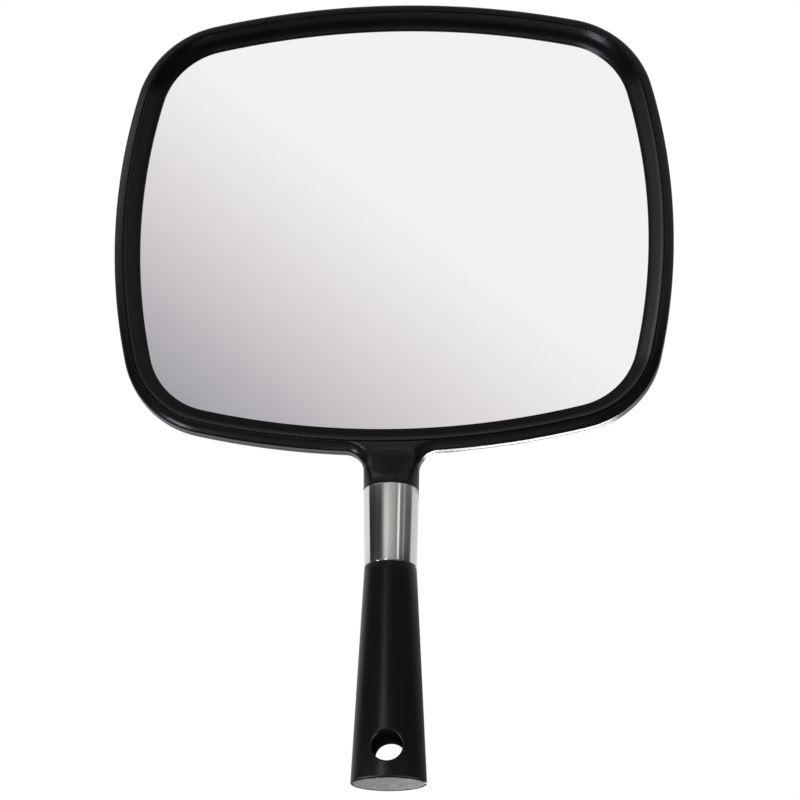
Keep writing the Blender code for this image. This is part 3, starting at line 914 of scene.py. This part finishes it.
def add_card(name, turn, rise, distance, size, material, centre):
    """A card of light for reflections, facing a centre from a compass angle and a height angle."""
    turn, rise = math.radians(turn), math.radians(rise)
    way = Vector((math.sin(turn) * math.cos(rise), -math.cos(turn) * math.cos(rise), math.sin(rise)))
    corners = [(x * size[0] / 2, y * size[1] / 2, 0.0) for x, y in CORNERS]
    card = add_stage_mesh(name, corners, [(0, 1, 2, 3)], material)
    card.location = Vector(centre) + way * distance
    card.rotation_euler = (-way).to_track_quat("-Z", "Y").to_euler()
    unseen(card)


def plain_light(name, brightness, tint=(1.0, 1.0, 1.0)):
    """An even light with a faint unevenness."""
    m = Nodes(name)
    colour = m.ramp(m.noise(2.0, detail=1.0), [(0.2, tuple(0.94 * t for t in tint)), (0.8, tint)])
    return emission(m, colour, brightness)


def risen_light(name, low, high, from_height, to_height):
    """A light that grows from its lower edge upward, heights in its own plane."""
    m = Nodes(name)
    split = m.add("ShaderNodeSeparateXYZ")
    m.link(m.coordinates(), split.inputs["Vector"])
    share = m.spread(split.outputs["Y"], 0.0, 1.0, from_height, to_height)
    return emission(m, m.ramp(share, [(0.0, low), (1.0, high)]))


def gradient_light():
    """What the glass reflects: lilac grey at the lower left, growing diagonally to an even white."""
    m = Nodes("gradient_light")
    split = m.add("ShaderNodeSeparateXYZ")
    m.link(m.coordinates(), split.inputs["Vector"])
    across, upward = 0.627, 0.779
    along = m.math("ADD", m.math("MULTIPLY", split.outputs["X"], across),
                   m.math("MULTIPLY", split.outputs["Z"], upward))
    share = m.spread(along, 0.0, 1.0, 0.15, 0.35)
    glass_share = 0.935
    colours = [
        (0.0, (142, 141, 148)), (0.13, (167, 166, 171)), (0.26, (184, 179, 185)),
        (0.38, (199, 195, 196)), (0.5, (211, 207, 208)), (0.63, (222, 218, 219)),
        (0.75, (231, 228, 229)), (0.82, (234, 233, 233)), (0.94, (240, 240, 240)),
        (1.0, (241, 241, 241))]
    return emission(m, m.ramp(share, [(at, tone(colour, glass_share)) for at, colour in colours]))


def add_gradient_card():
    """The card before the glass, above the camera's view."""
    low, high, left, right, front = 0.342, 0.66, -0.34, 0.26, -0.8
    corners = [(left, front, low), (right, front, low), (right, front, high), (left, front, high)]
    unseen(add_stage_mesh("gradient_card", corners, [(0, 1, 2, 3)], gradient_light()))


def add_area_light(name, position, aim, size, power):
    """A rectangular lamp that is neither seen nor reflected."""
    data = bpy.data.lights.new(name, "AREA")
    data.shape = "RECTANGLE"
    data.size, data.size_y = size
    data.energy = power
    light = bpy.data.objects.new(name, data)
    light.location = position
    light.rotation_euler = (Vector(aim) - Vector(position)).to_track_quat("-Z", "Y").to_euler()
    bpy.context.scene.collection.objects.link(light)
    light.visible_camera = light.visible_glossy = False


def add_studio():
    """A white world for the camera, the room, rings and cards as light, and a soft lamp from above."""
    w = Nodes("plain_white", world=True)
    background = w.tree.nodes["Background"]
    background.inputs["Color"].default_value = (1.0, 1.0, 1.0, 1.0)
    background.inputs["Strength"].default_value = 1.0
    bpy.context.scene.world = w.owner
    bpy.context.scene.view_settings.view_transform = "Standard"
    add_room()
    add_strip()
    add_floor()
    add_gradient_card()
    cool = (0.86, 0.88, 1.0)
    head, corner, foot, rear = (0.0, 0.0, 0.18), (0.084, 0.0, 0.262), (0.0, 0.0, 0.09), (0.03, 0.0, 0.09)
    left_light = risen_light("left_light", 0.37, 1.5, -0.115, 0.095)
    add_card("left_card", -69, 20, 0.55, (0.52, 0.25), left_light, head)
    add_card("right_card", 72, 20, 0.55, (0.7, 0.25), plain_light("right_light", 0.5), head)
    low_left_light = plain_light("low_left_light", 14.0, cool)
    add_card("low_left_card", -74, -49, 1.0, (0.20, 0.24), low_left_light, corner)
    low_front_light = plain_light("low_front_light", 19.0, cool)
    add_card("low_front_card", -22, -14, 0.8, (0.14, 0.08), low_front_light, corner)
    add_card("under_card", 0, -59, 0.18, (0.3, 0.14), plain_light("under_light", 0.36), foot)
    add_card("rear_card", 171, -11, 1.5, (0.6, 0.45), plain_light("rear_light", 10.0), rear)
    add_ring("rim_left", plain_light("rim_left_light", 8.0, cool), 0.05, (-0.076, -0.052), -78, -18)
    add_ring("rim_right", plain_light("rim_right_light", 4.0, cool), 0.05, (-0.086, -0.054), 10, 88)
    add_area_light("overhead", (0.0, 0.5, 3.2), (0.0, 0.0, -0.75), (3.0, 3.0), 60.0)


# ---- the mirror ----

def place(obj, material, slot, *nodes):
    """Gives a finished piece its material and body and hides the CAD nodes that it stands for. The slot
    is not used.
    """
    obj.data.materials.clear()
    obj.data.materials.append(material)
    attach(obj, "root")
    if nodes:
        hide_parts(*nodes)


def dress(node, material):
    """Gives a CAD node that stays a finished material."""
    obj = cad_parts[node]
    obj.data.materials.clear()
    obj.data.materials.append(material)


def build_mirror():
    """All the mirror's pieces, each with its material."""
    frame_black = black_plastic("frame_black", roughness=0.24, grain=0.12, specular=0.3, depth=0.0042)
    grip_black = black_plastic("grip_black", roughness=0.3, grain=0.3, specular=0.25, depth=0.0025)
    # Painted shade: a dark copy of the grip's plastic without reflections, for the hole's bore, the
    # grip's ends and the rear of its lower rim
    painted_shade_black = black_plastic("painted_shade_black", roughness=0.9, grain=0.5, specular=0.0, depth=0.012)
    ring_black = black_plastic("ring_black", roughness=0.24, grain=0.12, specular=0.27, depth=0.0015)
    place(make_housing(), frame_black, "frame_plastic", "front_housing")
    place(make_cover(), frame_black, "frame_plastic", "rear_cover")
    place(make_bezel(), ring_black, "frame_plastic", "bezel_ring")
    place(make_spigot(), frame_black, "frame_plastic")
    place(make_ferrule(), bright_chrome(), "sleeve_chrome", "chrome_ferrule")
    grip = make_grip()
    place(grip, grip_black, "grip_plastic", "handle_grip")
    # Faces in the bore, inside the ends and on the rear half of the lower rim take the painted shade
    grip.data.materials.append(painted_shade_black)
    for face in grip.data.polygons:
        face.material_index = int(in_painted_shade(face.center / MM))
    place(make_cap(), frosted_grey(), "cap_plastic", "end_cap")
    dress("mirror_glass", silvered_glass())
    dress("foam_pad", closed_cell_foam())
    tape = foam_tape()
    for side in ("left", "middle", "right"):
        dress(f"tape_strip_{side}", tape)
    dress("tang_bar", rolled_steel())


add_camera()
build_mirror()
add_studio()
